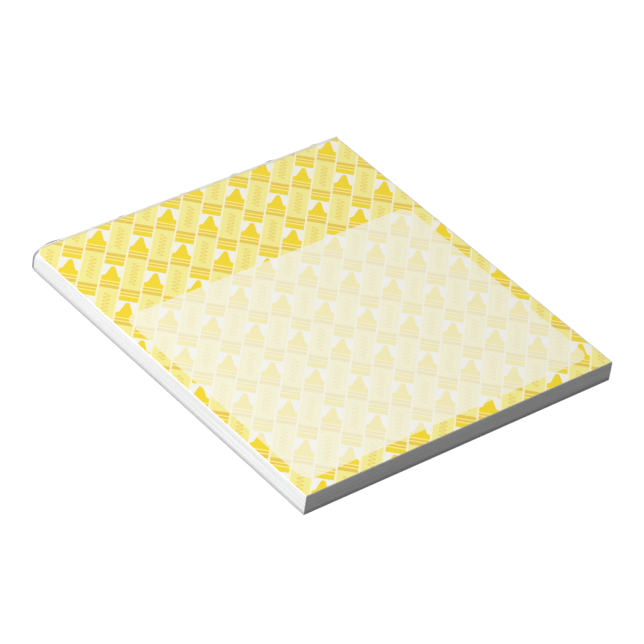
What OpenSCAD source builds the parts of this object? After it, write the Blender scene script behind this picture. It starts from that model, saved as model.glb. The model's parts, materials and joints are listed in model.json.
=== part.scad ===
// Tear-off notepad: a block of printed sheets on a chipboard back, held along
// the top of the page by a film of flexible padding glue.
// The page lies in the XY plane with its foot towards -Y and the glued spine
// towards +Y. The pad rests on z = 0, and the origin is the middle of its base.

/* [Page] */
// Width of the page
page_w = 146.05; // [90:0.05:220]
// Height of the page, from its foot to the glued spine
page_h = 158.75; // [100:0.05:300]

/* [Sheets] */
// How many sheets the pad holds
sheet_count = 50; // [10:1:50]
// Thickness of one sheet
sheet_t = 0.15; // [0.08:0.01:0.3]
// Sheets at the top of the block that turn on their own
loose_leaves = 4; // [1:1:4]

/* [Backing board] */
// Thickness of the chipboard
board_t = 1; // [0.5:0.05:3]

/* [Glue film] */
// Thickness of the film between its runs
film_t = 0.45; // [0.2:0.05:1.5]
// How far the widest run of dried glue stands out of the film
run_bulge = 0.9; // [0.2:0.05:1.2]
// Width of the widest run, along the spine
run_w = 12; // [6:0.5:20]

/* [Hidden] */
$fn = 64;

sheets_t = sheet_count * sheet_t;
pad_t = board_t + sheets_t;
pad_l = page_h + film_t + run_bulge;
foot_y = -pad_l / 2;
spine_y = foot_y + page_h;

// Each run of glue: its place along the spine as a share of the page's width,
// counted from the left, and its size as a share of the widest run's.
glue_runs = [[0.06, 1], [0.28, 0.4], [0.48, 0.3], [0.65, 0.45], [0.77, 0.55], [0.92, 0.4]];

board_colour = [0.62, 0.62, 0.61];
film_colour = [0.9, 0.9, 0.88];
leaf_colour = [0.97, 0.86, 0.3];
block_colour = [0.97, 0.94, 0.76];

function sheet_name(i) = str("sheet_", i < 10 ? "0" : "", i);

// Height of the underside of sheet i, where sheet 1 is the top one
function sheet_z(i) = pad_t - i * sheet_t;

// Radius of the arc that is w wide and b high
function arc_r(w, b) = (w * w / 4 + b * b) / (2 * b);

// Grey chipboard, trimmed flush with the sheets
module backing_board() {
    color(board_colour)
    translate([-page_w / 2, foot_y, 0])
    cube([page_w, page_h, board_t]);
}

// One printed sheet
module sheet(i) {
    color(i <= loose_leaves ? leaf_colour : block_colour)
    translate([-page_w / 2, foot_y, sheet_z(i)])
    cube([page_w, page_h, sheet_t]);
}

// One run of dried glue down the spine: a shallow arc as high as the pad
module glue_run(w, bulge) {
    r = arc_r(w, bulge);
    translate([0, film_t + bulge - r, 0])
    cylinder(h = pad_t, r = r, $fn = 128);
}

// The film over the whole spine, board and sheets alike, with its runs
module glue_film() {
    color(film_colour)
    translate([-page_w / 2, spine_y, 0])
    intersection() {
        cube([page_w, film_t + run_bulge, pad_t]);
        union() {
            cube([page_w, film_t, pad_t]);
            for (run = glue_runs)
                translate([run[0] * page_w, 0, 0])
                glue_run(run[1] * run_w, run[1] * run_bulge);
        }
    }
}

backing_board();
glue_film();
for (i = [1 : sheet_count])
    sheet(i);
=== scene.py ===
import json
import math
import random

import bmesh
import bpy
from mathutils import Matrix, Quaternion, Vector, noise

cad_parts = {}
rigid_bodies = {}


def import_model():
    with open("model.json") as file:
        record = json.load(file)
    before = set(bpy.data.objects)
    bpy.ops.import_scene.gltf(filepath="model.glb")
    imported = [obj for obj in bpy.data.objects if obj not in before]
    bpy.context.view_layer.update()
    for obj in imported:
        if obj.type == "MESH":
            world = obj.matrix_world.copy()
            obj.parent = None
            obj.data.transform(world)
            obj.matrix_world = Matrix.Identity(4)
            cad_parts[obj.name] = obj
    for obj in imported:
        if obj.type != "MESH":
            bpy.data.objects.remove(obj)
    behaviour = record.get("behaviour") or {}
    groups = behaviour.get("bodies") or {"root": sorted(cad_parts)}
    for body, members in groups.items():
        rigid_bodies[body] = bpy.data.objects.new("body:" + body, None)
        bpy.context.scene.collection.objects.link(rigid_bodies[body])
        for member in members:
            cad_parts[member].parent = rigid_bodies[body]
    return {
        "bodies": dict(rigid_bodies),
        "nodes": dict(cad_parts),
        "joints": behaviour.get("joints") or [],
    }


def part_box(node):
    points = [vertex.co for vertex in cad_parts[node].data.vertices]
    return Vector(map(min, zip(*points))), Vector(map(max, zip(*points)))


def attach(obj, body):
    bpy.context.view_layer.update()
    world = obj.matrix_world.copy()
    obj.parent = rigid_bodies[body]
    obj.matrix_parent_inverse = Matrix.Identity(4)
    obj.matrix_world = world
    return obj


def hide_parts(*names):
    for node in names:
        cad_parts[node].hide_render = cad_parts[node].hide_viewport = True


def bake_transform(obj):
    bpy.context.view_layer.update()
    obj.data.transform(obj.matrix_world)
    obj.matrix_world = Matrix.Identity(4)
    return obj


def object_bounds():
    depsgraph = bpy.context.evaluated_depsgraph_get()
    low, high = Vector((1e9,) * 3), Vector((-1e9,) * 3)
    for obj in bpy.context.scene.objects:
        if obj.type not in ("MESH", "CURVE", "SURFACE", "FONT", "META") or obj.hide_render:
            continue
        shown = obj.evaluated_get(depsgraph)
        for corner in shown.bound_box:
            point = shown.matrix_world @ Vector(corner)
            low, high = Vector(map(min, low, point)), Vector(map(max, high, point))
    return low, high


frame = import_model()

cad_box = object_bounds()
MM = 0.001


# ---------------------------------------------------------------------------
# Backing board: 1 mm grey chipboard made of pressed waste paper, the bottom
# ply of the pad. It is guillotined together with the sheets, so it lies flush
# with them, and the knife leaves its cut edges slightly rounded and furry.
# ---------------------------------------------------------------------------
BOARD_GREY = (0.57, 0.57, 0.565)
BOARD_FLECK = (0.33, 0.32, 0.31)
BOARD_ROUND = 0.1 * MM

# Its felt, its clouding, its flecks of old ink and its plies, in features per metre.
BOARD_FELT = 1400.0
BOARD_CLOUD = 160.0
BOARD_FLECKS = 900.0
BOARD_PLIES = (60.0, 60.0, 4500.0)

# A fleck shows where its noise is above the first, and covers the grey by the second.
FLECK_ABOVE = 0.66
FLECK_INK = 0.45

# The pad is trimmed as one. The knife leaves its upper sheets a hair short and
# leans at the foot. The left and right corners by the spine are a little round,
# and the left one has been knocked.
KNIFE_IN = 0.16 * MM
KNIFE_DOWN = 0.75 * MM
KNIFE_STRAY = 0.05 * MM
STRAYS_PER_METRE = 30
FOOT_LEAN = 0.28 * MM
CORNERS = {-1: 1.3 * MM, 1: 0.4 * MM}
KNOCK = 1.5 * MM
KNOCK_REACH = 6.5 * MM
KNOCK_DOWN = 3.6 * MM
KNOCK_UP = 1.6 * MM
KNOCK_AT_FOOT = 0.35

# How strongly a piece's rows are crowded towards the spine.
SPINE_CROWDING = 2.2


def maths(tree, operation, *values):
    """A Math node. Each value is a number or a socket; the result is its output socket."""
    node = tree.nodes.new("ShaderNodeMath")
    node.operation = operation
    for socket, value in zip(node.inputs, values):
        if isinstance(value, (int, float)):
            socket.default_value = value
        else:
            tree.links.new(value, socket)
    return node.outputs[0]


def mixed(tree, share, first, second, blend="MIX"):
    """A colour Mix node. Colours are tuples or sockets, and share is a number or a socket."""
    node = tree.nodes.new("ShaderNodeMix")
    node.data_type = "RGBA"
    node.blend_type = blend
    for name, value in (("Factor_Float", share), ("A_Color", first), ("B_Color", second)):
        socket = next(s for s in node.inputs if s.identifier == name)
        if isinstance(value, bpy.types.NodeSocket):
            tree.links.new(value, socket)
        elif isinstance(value, tuple):
            socket.default_value = (*value, 1)
        else:
            socket.default_value = value
    return next(s for s in node.outputs if s.identifier == "Result_Color")


def noise_value(tree, vector, scale, detail=2.0, roughness=0.5):
    """The 0 to 1 value of a Noise Texture, with scale in features per metre."""
    node = tree.nodes.new("ShaderNodeTexNoise")
    node.inputs["Scale"].default_value = scale
    node.inputs["Detail"].default_value = detail
    node.inputs["Roughness"].default_value = roughness
    tree.links.new(vector, node.inputs["Vector"])
    return node.outputs["Fac"]


def new_group(name, inputs, outputs):
    """A shader node group with those sockets. Returns the tree, its input node and its output node."""
    tree = bpy.data.node_groups.new(name, "ShaderNodeTree")
    for socket, kind in inputs:
        tree.interface.new_socket(socket, in_out="INPUT", socket_type=kind)
    for socket, kind in outputs:
        tree.interface.new_socket(socket, in_out="OUTPUT", socket_type=kind)
    return tree, tree.nodes.new("NodeGroupInput"), tree.nodes.new("NodeGroupOutput")


def place_group(tree, group, **links):
    """Places a node group in a material's tree, with each named input linked or set."""
    node = tree.nodes.new("ShaderNodeGroup")
    node.node_tree = group
    for name, value in links.items():
        socket = node.inputs[name.replace("_", " ")]
        if isinstance(value, bpy.types.NodeSocket):
            tree.links.new(value, socket)
        else:
            socket.default_value = value
    return node


def new_material(name, roughness, specular):
    """A material with one Principled BSDF. Returns the material, its tree and the shader."""
    material = bpy.data.materials.new(name)
    material.use_nodes = True
    tree = material.node_tree
    tree.nodes.clear()
    shader = tree.nodes.new("ShaderNodeBsdfPrincipled")
    shader.inputs["Roughness"].default_value = roughness
    shader.inputs["Specular IOR Level"].default_value = specular
    output = tree.nodes.new("ShaderNodeOutputMaterial")
    tree.links.new(shader.outputs["BSDF"], output.inputs["Surface"])
    return material, tree, shader


def add_bump(tree, shader, height, strength, distance):
    """Feeds a height through a Bump node into the shader's Normal."""
    bump = tree.nodes.new("ShaderNodeBump")
    bump.inputs["Strength"].default_value = strength
    bump.inputs["Distance"].default_value = distance
    tree.links.new(height, bump.inputs["Height"])
    tree.links.new(bump.outputs["Normal"], shader.inputs["Normal"])


# Pressed fibres, shared by the chipboard and the sheets: a fine felt of
# fibres over the cloudy formation that shows when paper is held to the light.
FELT_SHARE = 0.65

fibre, fibre_in, fibre_out = new_group(
    "paper_fibre",
    [("Vector", "NodeSocketVector"), ("Fibre Scale", "NodeSocketFloat"),
     ("Cloud Scale", "NodeSocketFloat"), ("Contrast", "NodeSocketFloat")],
    [("Shade", "NodeSocketFloat"), ("Height", "NodeSocketFloat")])
felt = noise_value(fibre, fibre_in.outputs["Vector"], scale=1.0, detail=4.0, roughness=0.65)
cloud = noise_value(fibre, fibre_in.outputs["Vector"], scale=1.0)
fibre.links.new(fibre_in.outputs["Fibre Scale"], felt.node.inputs["Scale"])
fibre.links.new(fibre_in.outputs["Cloud Scale"], cloud.node.inputs["Scale"])
felt_part = maths(fibre, "MULTIPLY", felt, FELT_SHARE)
cloud_part = maths(fibre, "MULTIPLY", cloud, 1 - FELT_SHARE)
grain = maths(fibre, "ADD", felt_part, cloud_part)
swing = maths(fibre, "MULTIPLY", maths(fibre, "SUBTRACT", grain, 0.5), fibre_in.outputs["Contrast"])
fibre.links.new(maths(fibre, "ADD", swing, 1.0), fibre_out.inputs["Shade"])
fibre.links.new(felt, fibre_out.inputs["Height"])


def chipboard_material():
    """Grey felt of waste paper, with darker flecks of old ink, and plies that show on the cut edge."""
    material, tree, shader = new_material("chipboard", roughness=0.85, specular=0.2)
    place = tree.nodes.new("ShaderNodeTexCoord").outputs["Object"]
    felt = place_group(tree, fibre, Vector=place, Fibre_Scale=BOARD_FELT, Cloud_Scale=BOARD_CLOUD,
                       Contrast=0.35)
    fleck = noise_value(tree, place, BOARD_FLECKS, detail=3.0, roughness=0.7)
    fleck = maths(tree, "MULTIPLY", maths(tree, "GREATER_THAN", fleck, FLECK_ABOVE), FLECK_INK)
    plies = tree.nodes.new("ShaderNodeMapping")
    plies.inputs["Scale"].default_value = BOARD_PLIES
    tree.links.new(place, plies.inputs["Vector"])
    ply = noise_value(tree, plies.outputs["Vector"], scale=1.0, detail=1.0)
    ply = maths(tree, "ADD", maths(tree, "MULTIPLY", ply, 0.12), 0.94)
    grey = mixed(tree, fleck, BOARD_GREY, BOARD_FLECK)
    shade = tree.nodes.new("ShaderNodeCombineColor")
    for socket in shade.inputs:
        tree.links.new(maths(tree, "MULTIPLY", felt.outputs["Shade"], ply), socket)
    tree.links.new(mixed(tree, 1.0, grey, shade.outputs["Color"], "MULTIPLY"), shader.inputs["Base Color"])
    add_bump(tree, shader, felt.outputs["Height"], strength=0.5, distance=0.05 * MM)
    return material


pad_low, pad_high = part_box("sheet_01")
pad_top = pad_high.z
spine = pad_high.y
page_width = pad_high.x - pad_low.x
page_height = pad_high.y - pad_low.y
page_centre = (pad_low + pad_high) / 2


def wander(a, b, seed):
    """A smooth value between -1 and 1 that varies over steps of about 1 in a and b, the same each run."""
    return noise.noise(Vector((a, b, seed)))


def trimmed(x, y, z):
    """Where a point of a square-cut slab lies once the pad is trimmed."""
    inset = KNIFE_IN * max(0.0, 1 - (pad_top - z) / KNIFE_DOWN) ** 2
    radius = CORNERS[-1 if x < page_centre.x else 1]
    near = max(0.0, radius - (spine - y))
    eased = radius - math.sqrt(radius * radius - near * near)
    narrower = 1 - (inset + eased) / (page_width / 2)
    shorter = 1 - inset / page_height
    stray = KNIFE_STRAY * wander(x * STRAYS_PER_METRE, y * STRAYS_PER_METRE, 5.0)
    return page_centre.x + (x - page_centre.x) * narrower + stray, spine - (spine - y) * shorter, z


def settled(x, y, z):
    """Where a point lies once the foot leans and the corner is knocked in, both most of all at the top."""
    lean = FOOT_LEAN * z / pad_top * (spine - y) / page_height
    away = math.hypot(x - page_centre.x + page_width / 2, y - spine)
    near = max(0.0, 1 - away / KNOCK_REACH) ** 2
    high = max(0.0, 1 - (pad_top - z) / KNOCK_DOWN) ** 2
    low = KNOCK_AT_FOOT * max(0.0, 1 - z / KNOCK_UP) ** 2
    push = KNOCK * near * (high + low)
    return x + push, y + lean - push, z


def shell_faces(wide, deep):
    """The quads of a closed shell of two grids of points: the first grid's, the second's and the rim's."""
    def at(layer, row, column):
        return (layer * deep + row) * wide + column

    cells = [(r, c) for r in range(deep - 1) for c in range(wide - 1)]
    first = [(at(0, r, c), at(0, r, c + 1), at(0, r + 1, c + 1), at(0, r + 1, c)) for r, c in cells]
    second = [(at(1, r, c), at(1, r + 1, c), at(1, r + 1, c + 1), at(1, r, c + 1)) for r, c in cells]
    ring = [(0, c) for c in range(wide - 1)] + [(r, wide - 1) for r in range(deep - 1)]
    ring += [(deep - 1, c) for c in range(wide - 1, 0, -1)] + [(r, 0) for r in range(deep - 1, 0, -1)]
    rim = [(at(1, *a), at(1, *b), at(0, *b), at(0, *a)) for a, b in zip(ring, ring[1:] + ring[:1])]
    return first + second + rim


def new_piece(name, points, faces):
    """An object with a mesh of those points and faces."""
    mesh = bpy.data.meshes.new(name)
    mesh.from_pydata(points, [], faces)
    piece = bpy.data.objects.new(name, mesh)
    bpy.context.collection.objects.link(piece)
    return piece


def closed_slab(name, xs, ys, z_low, z_high):
    """A trimmed slab on a grid of x and y lines, with its top quads first, then its underside and rim."""
    points = [trimmed(x, y, z) for z in (z_high, z_low) for y in ys for x in xs]
    return new_piece(name, points, shell_faces(len(xs), len(ys)))


def settle(mesh):
    """Gives a finished mesh its lean and its knocked corner."""
    for vertex in mesh.vertices:
        vertex.co = settled(*vertex.co)


def spread(first, last, steps):
    """steps + 1 evenly spaced values from first to last."""
    return [first + (last - first) * i / steps for i in range(steps + 1)]


def width_lines(count):
    """x lines across the page, with some more of them by the knocked corner."""
    left = page_centre.x - page_width / 2
    return spread(left, left + KNOCK_REACH, 6)[:-1] + spread(left + KNOCK_REACH, left + page_width, count)


def spine_rows(count):
    """y lines from the foot to the spine, crowded towards the spine, where the sheets bend."""
    return [spine - page_height * (1 - i / count) ** SPINE_CROWDING for i in range(count + 1)]


def crease_edges(piece, degrees):
    """Smooth shading over the faces, and sharp edges where two faces meet at more than that angle."""
    shaped = bmesh.new()
    shaped.from_mesh(piece.data)
    for face in shaped.faces:
        face.smooth = True
    for edge in shaped.edges:
        edge.smooth = edge.calc_face_angle(math.pi) < math.radians(degrees)
    shaped.to_mesh(piece.data)
    shaped.free()


board_low, board_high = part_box("backing_board")
board = closed_slab("chipboard_back", width_lines(40), spine_rows(56), board_low.z, board_high.z)
rounded = bmesh.new()
rounded.from_mesh(board.data)
corners = [e for e in rounded.edges if e.calc_face_angle(0) > math.radians(60)]
bmesh.ops.bevel(rounded, geom=corners, offset=BOARD_ROUND, segments=3, profile=0.5, affect="EDGES")
rounded.to_mesh(board.data)
rounded.free()
settle(board.data)
crease_edges(board, 40)
board.data.materials.append(chipboard_material())
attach(board, "pad_block")
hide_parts("backing_board")


# ---------------------------------------------------------------------------
# The print on every sheet: rows of yellow crayons on a slant, head to tail,
# with each row half a repeat along from the next. It runs off all four edges.
# A pale rounded panel is laid over it to write on.
# ---------------------------------------------------------------------------
GROUND = (0.870, 0.862, 0.790)
GUTTER = (0.915, 0.850, 0.640)
WAX = (0.870, 0.668, 0.024)
WAX_FOOT = (0.840, 0.672, 0.036)
STRIPE = (0.785, 0.575, 0.082)
LABEL = (0.872, 0.808, 0.290)
SLEEVE = (0.980, 0.845, 0.230)
SCRIPT = (0.830, 0.600, 0.085)

SLANT = math.radians(45.2)
REPEAT = 40.23 * MM
ROW_PITCH = 7.867 * MM
ROW_START = (3.69 * MM, 1.13 * MM)
HALF_WIDTH = 3.58 * MM

# From the foot of a crayon to its tip: each band's ink and its length in mm.
BANDS = [(WAX_FOOT, 2.7), (SLEEVE, 0.65), (STRIPE, 1.15), (SLEEVE, 0.65), (STRIPE, 1.85), (LABEL, 19.2),
         (STRIPE, 1.85), (SLEEVE, 0.65), (STRIPE, 1.15), (SLEEVE, 0.65), (WAX, 9.0)]
CRAYON_LENGTH = sum(length for ink, length in BANDS) * MM
SHOULDER_AT = 33.0 * MM
CONE_HALF_WIDTH = 2.62 * MM
CONE_TAPER = 0.305
SHOULDER_TAPER = 1.6
TIP_TAPER = 3.0
SHOULDER_ROUND = 0.2 * MM
TIP_ROUND = 0.3 * MM
SQUIGGLE_LENGTH = 13.2 * MM
SQUIGGLE_PERIOD = 2.2 * MM
SQUIGGLE_RISE = 1.08 * MM
SQUIGGLE_STROKE = 0.42 * MM

PANEL_LOW = (-68.15 * MM, -72.9 * MM)
PANEL_HIGH = (67.45 * MM, 30.95 * MM)
PANEL_CORNER = 5.0 * MM
PANEL_TINT = (0.880, 0.875, 0.850)
PANEL_COVER = 0.705
SCREEN_GAMMA = 2.2

# The glue that has soaked in, the skin of it over the print, and the painted shade
# line along the right edge: how wide each is, how strongly it covers, and how ragged the glue is per metre.
# A grey for the soaked glue, also used for the painted shade line along the right edge.
GLUE_SOAK_AND_SHADE_GREY = (0.560, 0.570, 0.610)
BRUSHED = (0.830, 0.830, 0.810)
SOAK_WIDTH = 1.3 * MM
SKIN_WIDTH = 0.45 * MM
EDGE_SHADE_WIDTH = 0.7 * MM
SOAK_SHARE = 0.5
SKIN_SHARE = 0.75
EDGE_SHADE_SHARE = 0.65
RAGGED = 250.0

pattern, pattern_in, pattern_out = new_group(
    "crayon_print",
    [("Page", "NodeSocketVector")],
    [("Color", "NodeSocketColor"), ("Ink", "NodeSocketFloat")])


def calc(operation, *values):
    """A Math node of the print's own group."""
    return maths(pattern, operation, *values)


page = pattern.nodes.new("ShaderNodeSeparateXYZ")
pattern.links.new(pattern_in.outputs["Page"], page.inputs["Vector"])
across, up = page.outputs["X"], page.outputs["Y"]

# Along and across the slanted rows, and each row's number.
along = calc("ADD", calc("MULTIPLY", across, math.cos(SLANT)), calc("MULTIPLY", up, math.sin(SLANT)))
aside = calc("SUBTRACT", calc("MULTIPLY", across, math.sin(SLANT)), calc("MULTIPLY", up, math.cos(SLANT)))
rows = calc("DIVIDE", calc("SUBTRACT", aside, ROW_START[1]), ROW_PITCH)
row = calc("ROUND", rows)
side = calc("MULTIPLY", calc("SUBTRACT", rows, row), ROW_PITCH)
stagger = calc("MULTIPLY", row, REPEAT / 2)
reach = calc("FLOORED_MODULO", calc("SUBTRACT", calc("SUBTRACT", along, ROW_START[0]), stagger), REPEAT)

# Its outline: a straight barrel, a rounded shoulder, a cone and a blunt tip.
cone = calc("MULTIPLY_ADD", calc("SUBTRACT", reach, SHOULDER_AT), -CONE_TAPER, CONE_HALF_WIDTH)
shoulder = calc("MULTIPLY_ADD", calc("SUBTRACT", reach, SHOULDER_AT), -SHOULDER_TAPER, HALF_WIDTH)
outline = calc("SMOOTH_MAX", shoulder, cone, SHOULDER_ROUND)
outline = calc("MINIMUM", outline, HALF_WIDTH)
tip = calc("MULTIPLY", calc("SUBTRACT", CRAYON_LENGTH, reach), TIP_TAPER)
outline = calc("SMOOTH_MIN", outline, tip, TIP_ROUND)
body = calc("LESS_THAN", calc("ABSOLUTE", side), outline)

inks = WAX_FOOT
reached = 0.0
for ink, length in BANDS:
    inks = mixed(pattern, calc("GREATER_THAN", reach, reached * MM), inks, ink)
    if ink == LABEL:
        label_middle = (reached + length / 2) * MM
    reached += length

# A squiggle stands on the label in place of a word.
turn = calc("MULTIPLY", calc("SUBTRACT", reach, label_middle), 2 * math.pi / SQUIGGLE_PERIOD)
wave = calc("MULTIPLY", calc("SINE", turn), SQUIGGLE_RISE)
slope = calc("MULTIPLY", calc("COSINE", turn), SQUIGGLE_RISE * 2 * math.pi / SQUIGGLE_PERIOD)
lean = calc("SQRT", calc("MULTIPLY_ADD", slope, slope, 1.0))
gap = calc("DIVIDE", calc("ABSOLUTE", calc("SUBTRACT", side, wave)), lean)
stroke = calc("LESS_THAN", gap, SQUIGGLE_STROKE / 2)
middle = calc("LESS_THAN", calc("ABSOLUTE", calc("SUBTRACT", reach, label_middle)), SQUIGGLE_LENGTH / 2)
inks = mixed(pattern, calc("MULTIPLY", stroke, middle), inks, SCRIPT)
gutter = calc("GREATER_THAN", calc("ABSOLUTE", side), HALF_WIDTH)
printed = mixed(pattern, body, mixed(pattern, gutter, GROUND, GUTTER), inks)


def inside_panel():
    """1 inside the writing panel's rounded rectangle, 0 outside it."""
    over = []
    for line, low, high in ((across, PANEL_LOW[0], PANEL_HIGH[0]), (up, PANEL_LOW[1], PANEL_HIGH[1])):
        off = calc("ABSOLUTE", calc("SUBTRACT", line, (low + high) / 2))
        over.append(calc("MAXIMUM", calc("SUBTRACT", off, (high - low) / 2 - PANEL_CORNER), 0.0))
    squares = calc("MULTIPLY_ADD", over[0], over[0], calc("MULTIPLY", over[1], over[1]))
    return calc("LESS_THAN", calc("SQRT", squares), PANEL_CORNER)


def gamma(colour, power):
    """A colour taken to a power, so that tints mix as they do in a halftone."""
    node = pattern.nodes.new("ShaderNodeGamma")
    node.inputs["Gamma"].default_value = power
    if isinstance(colour, tuple):
        node.inputs["Color"].default_value = (*colour, 1)
    else:
        pattern.links.new(colour, node.inputs["Color"])
    return node.outputs["Color"]


panel = inside_panel()
under_panel = gamma(printed, 1 / SCREEN_GAMMA)
over_panel = gamma(PANEL_TINT, 1 / SCREEN_GAMMA)
tinted = gamma(mixed(pattern, PANEL_COVER, under_panel, over_panel), SCREEN_GAMMA)
printed = mixed(pattern, panel, printed, tinted)

# Glue has soaked into the bound edge and greys it, and a thin skin of it lies
# over the last of the print there. A hairline of painted shade runs along the right edge.
ragged = calc("ADD", noise_value(pattern, pattern_in.outputs["Page"], RAGGED), 0.5)
edge = calc("SUBTRACT", page_height / 2, up)
soak = calc("LESS_THAN", edge, calc("MULTIPLY", ragged, SOAK_WIDTH))
printed = mixed(pattern, calc("MULTIPLY", soak, SOAK_SHARE), printed, GLUE_SOAK_AND_SHADE_GREY)
skin = calc("LESS_THAN", edge, calc("MULTIPLY", ragged, SKIN_WIDTH))
printed = mixed(pattern, calc("MULTIPLY", skin, SKIN_SHARE), printed, BRUSHED)
# Painted shade: a grey hairline along the right edge of the print, where the edge turns from the light.
edge_shade = calc("GREATER_THAN", across, page_width / 2 - EDGE_SHADE_WIDTH)
printed = mixed(pattern, calc("MULTIPLY", edge_shade, EDGE_SHADE_SHARE), printed, GLUE_SOAK_AND_SHADE_GREY)
pattern.links.new(printed, pattern_out.inputs["Color"])
pattern.links.new(body, pattern_out.inputs["Ink"])


# ---------------------------------------------------------------------------
# The block: the sheets under the loose ones, uncoated white paper jogged
# square and cut with one stroke of the guillotine. Each sheet lies a hair off
# its neighbours, and the cut edges of the lowest ones are a little darker.
# ---------------------------------------------------------------------------
AIR = 0.004 * MM
SLIP = 0.003 * MM
EDGE_WHITE = (0.93, 0.935, 0.95)

# The paper's felt and clouding, and the streaks on its cut edges, in features per metre.
PAPER_FELT = 2200.0
PAPER_CLOUD = 140.0
STREAKS = (14.0, 14.0, 900.0)

# How many of the lowest sheets drift in tone, how far the drift wanders and between
# which tones, and how many of them are darker towards the board.
REAM_SHEETS = 10.0
REAM_DRIFT = 1.7
REAM_TONES = (0.93, 1.0)
DARKENED_SHEETS = 7.0
BOTTOM_TONE = 0.72


def paper_surface(name, side):
    """Uncoated paper: side is "print" for its printed face, "back" for its back and "cut" for its edges."""
    material, tree, shader = new_material(name, roughness=0.75, specular=0.15)
    where = tree.nodes.new("ShaderNodeAttribute")
    where.attribute_name = "page"
    felt = place_group(tree, fibre, Vector=where.outputs["Vector"], Fibre_Scale=PAPER_FELT,
                       Cloud_Scale=PAPER_CLOUD, Contrast=0.06)
    colour = EDGE_WHITE
    shade = felt.outputs["Shade"]
    if side == "print":
        print_node = place_group(tree, pattern, Page=where.outputs["Vector"])
        colour = print_node.outputs["Color"]
        matt = maths(tree, "MULTIPLY_ADD", print_node.outputs["Ink"], -0.12, 0.78)
        tree.links.new(matt, shader.inputs["Roughness"])
    if side == "cut":
        # Long faint streaks along the stack, and each sheet's own tone.
        layers = tree.nodes.new("ShaderNodeMapping")
        layers.inputs["Scale"].default_value = STREAKS
        tree.links.new(where.outputs["Vector"], layers.inputs["Vector"])
        streak = noise_value(tree, layers.outputs["Vector"], scale=1.0)
        tone = tree.nodes.new("ShaderNodeAttribute")
        tone.attribute_name = "tone"
        level = maths(tree, "MULTIPLY", maths(tree, "MULTIPLY_ADD", streak, 0.4, 0.76), tone.outputs["Fac"])
        shade = maths(tree, "MULTIPLY", shade, level)
    grey = tree.nodes.new("ShaderNodeCombineColor")
    for socket in grey.inputs:
        tree.links.new(shade, socket)
    tree.links.new(mixed(tree, 1.0, colour, grey.outputs["Color"], "MULTIPLY"), shader.inputs["Base Color"])
    add_bump(tree, shader, felt.outputs["Height"], strength=0.25, distance=0.02 * MM)
    return material


printed_face = paper_surface("printed_paper", "print")
paper_back = paper_surface("paper_back", "back")
cut_edge = paper_surface("cut_edge", "cut")


def stack_tree():
    """Geometry Nodes: repeats the sheet it is put on, each copy with its own slip and edge tone."""
    tree = bpy.data.node_groups.new("sheet_stack", "GeometryNodeTree")
    for name, kind in (("Sheet", "NodeSocketGeometry"), ("Count", "NodeSocketInt"),
                       ("Pitch", "NodeSocketFloat"), ("Slip", "NodeSocketFloat"),
                       ("Page Centre", "NodeSocketVector"), ("Seed", "NodeSocketInt")):
        tree.interface.new_socket(name, in_out="INPUT", socket_type=kind)
    tree.interface.new_socket("Stack", in_out="OUTPUT", socket_type="NodeSocketGeometry")
    given = tree.nodes.new("NodeGroupInput").outputs

    def node(kind, settings=(), **links):
        """One node, with its settings made and each named input linked to a socket or set."""
        made = tree.nodes.new(kind)
        for setting, value in settings:
            setattr(made, setting, value)
        for name, value in links.items():
            socket = next(s for s in made.inputs if s.name == name.replace("_", " ") and s.enabled)
            if isinstance(value, bpy.types.NodeSocket):
                tree.links.new(value, socket)
            else:
                socket.default_value = value
        return next(s for s in made.outputs if s.enabled)

    # One point for each sheet, upwards from the lowest, moved a hair sideways.
    step = node("ShaderNodeCombineXYZ", Z=given["Pitch"])
    pile = node("GeometryNodeMeshLine", Count=given["Count"], Offset=step)
    off = node("FunctionNodeRandomValue", [("data_type", "FLOAT_VECTOR")],
               Min=(-1.0, -1.0, 0.0), Max=(1.0, 0.0, 0.0), Seed=given["Seed"])
    slip = node("ShaderNodeVectorMath", [("operation", "SCALE")], Vector=off, Scale=given["Slip"])
    pile = node("GeometryNodeSetPosition", Geometry=pile, Offset=slip)

    # The cut edges of the lowest sheets drift a little in tone, and they get darker
    # towards the board. The sheets above them share one tone.
    number = node("GeometryNodeInputIndex")
    level = node("ShaderNodeMapRange", Value=number, From_Max=REAM_SHEETS, To_Max=REAM_DRIFT)
    ream = node("ShaderNodeTexNoise", [("noise_dimensions", "1D")], W=level, Scale=1.0, Detail=2.0)
    ream = node("ShaderNodeMapRange", Value=ream, From_Min=0.3, From_Max=0.7,
                To_Min=REAM_TONES[0], To_Max=REAM_TONES[1])
    bottom_darkening = node("ShaderNodeMapRange", Value=number, From_Max=DARKENED_SHEETS, To_Min=BOTTOM_TONE, To_Max=1.0)
    tone = node("ShaderNodeMath", [("operation", "MULTIPLY")], Value=ream)
    tree.links.new(bottom_darkening, tone.node.inputs[1])
    pile = node("GeometryNodeStoreNamedAttribute", [("data_type", "FLOAT"), ("domain", "POINT")],
                Geometry=pile, Name="tone", Value=tone)
    stack = node("GeometryNodeInstanceOnPoints", Points=pile, Instance=given["Sheet"])
    stack = node("GeometryNodeRealizeInstances", Geometry=stack)
    place = node("ShaderNodeVectorMath", [("operation", "SUBTRACT")],
                 Vector=node("GeometryNodeInputPosition"))
    tree.links.new(given["Page Centre"], place.node.inputs[1])
    stack = node("GeometryNodeStoreNamedAttribute", [("data_type", "FLOAT_VECTOR"), ("domain", "POINT")],
                 Geometry=stack, Name="page", Value=place)

    # The cut edge's material all over, and the print on the upper faces.
    stack = node("GeometryNodeSetMaterial", Geometry=stack, Material=cut_edge)
    facing = node("ShaderNodeSeparateXYZ", Vector=node("GeometryNodeInputNormal")).node.outputs["Z"]
    upward = node("FunctionNodeCompare", [("data_type", "FLOAT"), ("operation", "GREATER_THAN")],
                  A=facing, B=0.5)
    stack = node("GeometryNodeSetMaterial", Geometry=stack, Selection=upward, Material=printed_face)
    tree.links.new(stack, tree.nodes.new("NodeGroupOutput").inputs["Stack"])
    return tree


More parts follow.
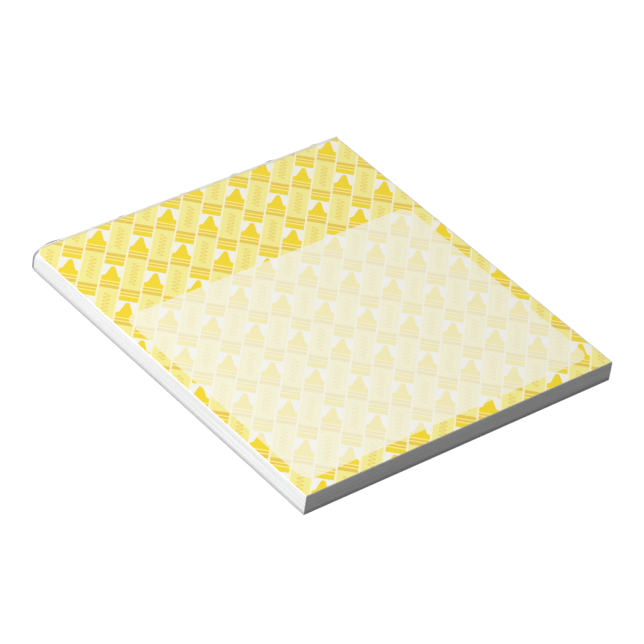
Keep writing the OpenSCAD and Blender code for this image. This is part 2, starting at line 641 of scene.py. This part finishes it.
sheet_nodes = sorted(name for name in frame["nodes"] if name.startswith("sheet_"))
loose_count = len([body for body in frame["bodies"] if body.startswith("leaf_")])
cover_sheet = sheet_nodes[loose_count]
block_nodes = sheet_nodes[loose_count + 1:]
last_low, last_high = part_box(block_nodes[-1])

block = closed_slab("page_block", width_lines(8), spine_rows(22),
                    last_low.z + AIR / 2, last_high.z - AIR / 2)
stacker = block.modifiers.new("stack", "NODES")
stacker.node_group = stack_tree()
sizes = {"Count": len(block_nodes), "Pitch": last_high.z - last_low.z, "Slip": SLIP,
         "Page Centre": page_centre, "Seed": 5}
for socket in stacker.node_group.interface.items_tree:
    if socket.name in sizes:
        stacker[socket.identifier] = sizes[socket.name]
depsgraph = bpy.context.evaluated_depsgraph_get()
stacked = bpy.data.meshes.new_from_object(block.evaluated_get(depsgraph), depsgraph=depsgraph)
block.modifiers.remove(stacker)
block.data = stacked
settle(stacked)
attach(block, "pad_block")
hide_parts(*block_nodes)


# ---------------------------------------------------------------------------
# The loose sheets: the four at the top, which are turned over the bound edge
# one at a time before they are torn off, and the sheet under them.
# ---------------------------------------------------------------------------
LOOSE_TONES = (0.97, 1.0)
tones = random.Random(11)


def paper_sheet(node):
    """One sheet as its own piece, with close rows of quads where it bends at the bound edge."""
    low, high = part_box(node)
    xs, ys = width_lines(20), spine_rows(84)
    piece = closed_slab(node + "_paper", xs, ys, low.z + AIR / 2, high.z - AIR / 2)
    mesh = piece.data
    top_faces = (len(xs) - 1) * (len(ys) - 1)
    for material in (printed_face, paper_back, cut_edge):
        mesh.materials.append(material)
    rim_faces = len(mesh.polygons) - 2 * top_faces
    mesh.polygons.foreach_set("material_index", [0] * top_faces + [1] * top_faces + [2] * rim_faces)
    crease_edges(piece, 15)
    settle(mesh)
    place = mesh.attributes.new("page", "FLOAT_VECTOR", "POINT")
    place.data.foreach_set("vector", [c for v in mesh.vertices for c in v.co - page_centre])
    tone = mesh.attributes.new("tone", "FLOAT", "POINT")
    tone.data.foreach_set("value", [tones.uniform(*LOOSE_TONES)] * len(mesh.vertices))
    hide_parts(node)
    return piece


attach(paper_sheet(cover_sheet), "pad_block")
for joint in frame["joints"]:
    leaf = paper_sheet("sheet_" + joint["child"][-2:])
    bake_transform(leaf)


# ---------------------------------------------------------------------------
# Glue film: water-based padding glue brushed over the clamped spine in two
# coats. It dries to a whitish rubbery skin, thicker where it ran down.
# ---------------------------------------------------------------------------
GLUE_WHITE = (0.42, 0.42, 0.435)
GLUE_THIN = (0.33, 0.33, 0.345)
# A dark grey, painted as shade on the upper ends of the runs.
RUN_SHADE_GREY = (0.19, 0.18, 0.215)
FILM = 0.12 * MM
FILM_RIPPLE = 0.09 * MM
FILM_EDGE = 0.6 * MM
FILM_LEAST = 0.02 * MM
FILM_WRAP = 0.4 * MM
FILM_AT_SIDE = 0.6
FILM_LIP = 0.3

# Its ripple and its finer ripple, in waves per metre along the spine and up it.
RIPPLE_WAVES = (160, 260)
FINE_WAVES = (700, 500)

# How many columns and rows its skin has.
FILM_COLUMNS = 340
FILM_ROWS = 26

# Painted shade darkens the upper end of a run that stands this far out, and fades this far down.
RUN_SHADE_PROUD = 0.3 * MM
RUN_SHADE_DOWN = 1.5 * MM

# Each run: its place as a share of the page's width, its width and how far it stands out, in mm.
RUNS = [(0.062, 11.0, 0.85), (0.28, 5.0, 0.5), (0.48, 4.0, 0.35), (0.65, 5.0, 0.5), (0.77, 6.0, 0.65),
        (0.92, 5.0, 0.45)]

# On its way down a run may stray sideways by this share of its width, and it gets wider and flatter.
RUN_DRIFT = 0.25
RUN_TOP_WIDTH = 0.85
RUN_FOOT_WIDTH = 1.15
RUN_FOOT_HEIGHT = 0.75

film_low, film_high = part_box("glue_film")


def run_height(x, z):
    """How far a run stands out of the film at x along the spine and z up it."""
    share = (z - film_low.z) / (film_high.z - film_low.z)
    height = 0.0
    for place, width, proud in RUNS:
        drift = wander(place * 50, share * 1.6, 2.0) * RUN_DRIFT * width
        from_middle = abs((x - film_low.x - place * page_width) / MM - drift * (1 - share))
        widened = RUN_FOOT_WIDTH + (RUN_TOP_WIDTH - RUN_FOOT_WIDTH) * share
        flattened = RUN_FOOT_HEIGHT + (1 - RUN_FOOT_HEIGHT) * share
        reach = from_middle / (width / 2 * widened)
        if reach < 1:
            height += proud * MM * math.cos(reach * math.pi / 2) ** 1.2 * flattened
    return height


def film_thickness(x, z, share_left):
    """How thick the film is there, runs and all. share_left falls to 0 where the film ends."""
    thick = FILM + FILM_RIPPLE * wander(x * RIPPLE_WAVES[0], z * RIPPLE_WAVES[1], 4.0)
    thick += FILM_RIPPLE / 2 * wander(x * FINE_WAVES[0], z * FINE_WAVES[1], 9.0)
    thick += run_height(x, z)
    edge = min(1.0, min(z - film_low.z, film_high.z - z) / FILM_EDGE)
    rounded = FILM_LIP + (1 - FILM_LIP) * math.sqrt(1 - (1 - edge) ** 2)
    return max(FILM_LEAST, thick * rounded * math.sqrt(share_left))


def spine_path():
    """The way round the bound edge, from the left side round both corners to the right side.
    Each point has its place, its outward direction and the share of the film that is left there."""
    left, right = CORNERS[-1], CORNERS[1]
    first, last = page_centre.x - page_width / 2, page_centre.x + page_width / 2
    turns = spread(0.0, math.pi / 2, 10)
    shares = [FILM_AT_SIDE + (1 - FILM_AT_SIDE) * math.sin(t) for t in turns]
    round_left = [(first + left * (1 - math.cos(t)), spine - left * (1 - math.sin(t)),
                   -math.cos(t), math.sin(t), share) for t, share in zip(turns, shares)]
    along = [(x, spine, 0.0, 1.0, 1.0) for x in spread(first + left, last - right, FILM_COLUMNS)[1:-1]]
    round_right = [(last - right * (1 - math.cos(t)), spine - right * (1 - math.sin(t)),
                    math.cos(t), math.sin(t), share) for t, share in zip(turns, shares)]
    start = (first, spine - left - FILM_WRAP, -1.0, 0.0, 0.0)
    end = (last, spine - right - FILM_WRAP, 1.0, 0.0, 0.0)
    return [start, *round_left, *along, *reversed(round_right), end]


def glue_film():
    """The film as a closed skin: an inner side against the sheets, a rippled outer side, and its rim."""
    height = film_high.z - film_low.z
    zs = [film_low.z + height * (0.5 - 0.5 * math.cos(math.pi * i / FILM_ROWS))
          for i in range(FILM_ROWS + 1)]
    path = spine_path()
    inner, outer, run_shading = [], [], []
    for z in zs:
        for x, y, out_x, out_y, share_left in path:
            thick = film_thickness(x, z, share_left)
            inner.append(settled(x, y, z))
            outer.append(settled(x + out_x * thick, min(y + out_y * thick, film_high.y), z))
            # Painted shade on the upper ends of the proud runs.
            run_shading.append(min(1.0, run_height(x, z) / RUN_SHADE_PROUD)
                         * max(0.0, 1 - (film_high.z - z) / RUN_SHADE_DOWN))
    piece = new_piece("padding_glue", inner + outer, shell_faces(len(path), len(zs)))
    run_shade = piece.data.attributes.new("run_shade", "FLOAT", "POINT")
    run_shade.data.foreach_set("value", run_shading + run_shading)
    crease_edges(piece, 60)
    return piece


def glue_material():
    """A whitish rubbery skin, cloudy and brushed, with painted shade on the upper ends of its runs."""
    material, tree, shader = new_material("padding_glue", roughness=0.42, specular=0.45)
    place = tree.nodes.new("ShaderNodeTexCoord").outputs["Object"]
    brush = tree.nodes.new("ShaderNodeMapping")
    brush.inputs["Scale"].default_value = (0.25, 1.0, 1.0)
    tree.links.new(place, brush.inputs["Vector"])
    streak = noise_value(tree, brush.outputs["Vector"], scale=1500.0, detail=3.0)
    cloud = noise_value(tree, place, scale=220.0)
    run_shade = tree.nodes.new("ShaderNodeAttribute")
    run_shade.attribute_name = "run_shade"
    skin = mixed(tree, cloud, GLUE_THIN, GLUE_WHITE)
    # The painted shade on the runs is mixed over the skin here.
    tree.links.new(mixed(tree, run_shade.outputs["Fac"], skin, RUN_SHADE_GREY), shader.inputs["Base Color"])
    tree.links.new(maths(tree, "MULTIPLY_ADD", streak, 0.25, 0.32), shader.inputs["Roughness"])
    add_bump(tree, shader, streak, strength=0.4, distance=0.05 * MM)
    return material


film = glue_film()
film.data.materials.append(glue_material())
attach(film, "pad_block")
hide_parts("glue_film")


# ---------------------------------------------------------------------------
# Studio: a plain pale floor, a large soft light from the left, a weak one
# from behind, and a long lens.
# ---------------------------------------------------------------------------
FLOOR_HALF = 6.0
FLOOR_BELOW = 0.02 * MM
FLOOR_SHADE = 0.09
FLOOR_GLOW = 0.97
FLOOR_BOUNCE = 0.13
SKY = 0.26
LENS = 216.3
VIEW_AZIMUTH = math.radians(-45.96)
VIEW_ELEVATION = math.radians(37.64)
VIEW_ROLL = math.radians(10.11)
VIEW_DISTANCE = 1417.2 * MM
VIEW_TARGET = Vector((1.6 * MM, -0.34 * MM, 0))


def towards(azimuth, elevation):
    """The unit vector from the pad towards something at that azimuth and elevation."""
    flat = math.cos(elevation)
    return Vector((math.sin(azimuth) * flat, -math.cos(azimuth) * flat, math.sin(elevation)))


def pale_floor():
    """A white sweep that fills the view, and throws little light back up at the pad's sides."""
    material = bpy.data.materials.new("floor")
    material.use_nodes = True
    tree = material.node_tree
    tree.nodes.clear()
    seen = tree.nodes.new("ShaderNodeLightPath").outputs["Is Camera Ray"]
    dull = tree.nodes.new("ShaderNodeBsdfDiffuse")
    dull.inputs["Color"].default_value = (FLOOR_BOUNCE, FLOOR_BOUNCE, FLOOR_BOUNCE, 1)
    bright = tree.nodes.new("ShaderNodeBsdfDiffuse")
    bright.inputs["Color"].default_value = (FLOOR_SHADE, FLOOR_SHADE, FLOOR_SHADE, 1)
    glow = tree.nodes.new("ShaderNodeEmission")
    glow.inputs["Color"].default_value = (1, 1, 1, 1)
    glow.inputs["Strength"].default_value = FLOOR_GLOW
    lit = tree.nodes.new("ShaderNodeAddShader")
    tree.links.new(bright.outputs[0], lit.inputs[0])
    tree.links.new(glow.outputs[0], lit.inputs[1])
    chosen = tree.nodes.new("ShaderNodeMixShader")
    tree.links.new(seen, chosen.inputs["Fac"])
    tree.links.new(dull.outputs[0], chosen.inputs[1])
    tree.links.new(lit.outputs[0], chosen.inputs[2])
    output = tree.nodes.new("ShaderNodeOutputMaterial")
    tree.links.new(chosen.outputs[0], output.inputs["Surface"])
    half, low = FLOOR_HALF, cad_box[0][2] - FLOOR_BELOW
    corners = [(-half, -half, low), (half, -half, low), (half, half, low), (-half, half, low)]
    floor = new_piece("floor", corners, [(0, 1, 2, 3)])
    floor.data.materials.append(material)


def white_world():
    """White behind everything, and a dimmer even light from all round."""
    world = bpy.data.worlds.new("studio")
    bpy.context.scene.world = world
    world.use_nodes = True
    tree = world.node_tree
    tree.nodes.clear()
    seen = tree.nodes.new("ShaderNodeLightPath").outputs["Is Camera Ray"]
    background = tree.nodes.new("ShaderNodeBackground")
    background.inputs["Color"].default_value = (1, 1, 1, 1)
    tree.links.new(maths(tree, "MULTIPLY_ADD", seen, 1.0 - SKY, SKY), background.inputs["Strength"])
    output = tree.nodes.new("ShaderNodeOutputWorld")
    tree.links.new(background.outputs[0], output.inputs["Surface"])


def soft_light(name, azimuth, elevation, distance, size, strength):
    """A square area light aimed at the pad. A strength of 1 lights a white face square on as white."""
    data = bpy.data.lights.new(name, "AREA")
    data.size = size
    data.energy = strength * (math.pi * distance) ** 2
    light = bpy.data.objects.new(name, data)
    light.location = distance * towards(azimuth, elevation)
    light.rotation_euler = (-light.location).to_track_quat("-Z", "Y").to_euler()
    bpy.context.collection.objects.link(light)


pale_floor()
white_world()
soft_light("key", math.radians(-93), math.radians(41), distance=1.6, size=0.7, strength=1.07)
soft_light("fill", math.radians(148), math.radians(14), distance=1.6, size=0.9, strength=0.32)

camera_data = bpy.data.cameras.new("camera")
camera_data.lens = LENS
camera_data.sensor_width = 36
camera_data.clip_start = 0.05
camera_data.clip_end = 50
camera = bpy.data.objects.new("camera", camera_data)
camera.location = VIEW_TARGET + VIEW_DISTANCE * towards(VIEW_AZIMUTH, VIEW_ELEVATION)
aim = (VIEW_TARGET - camera.location).to_track_quat("-Z", "Y")
camera.rotation_euler = (aim @ Quaternion((0, 0, 1), VIEW_ROLL)).to_euler()
bpy.context.collection.objects.link(camera)
bpy.context.scene.camera = camera
bpy.context.scene.view_settings.view_transform = "Standard"
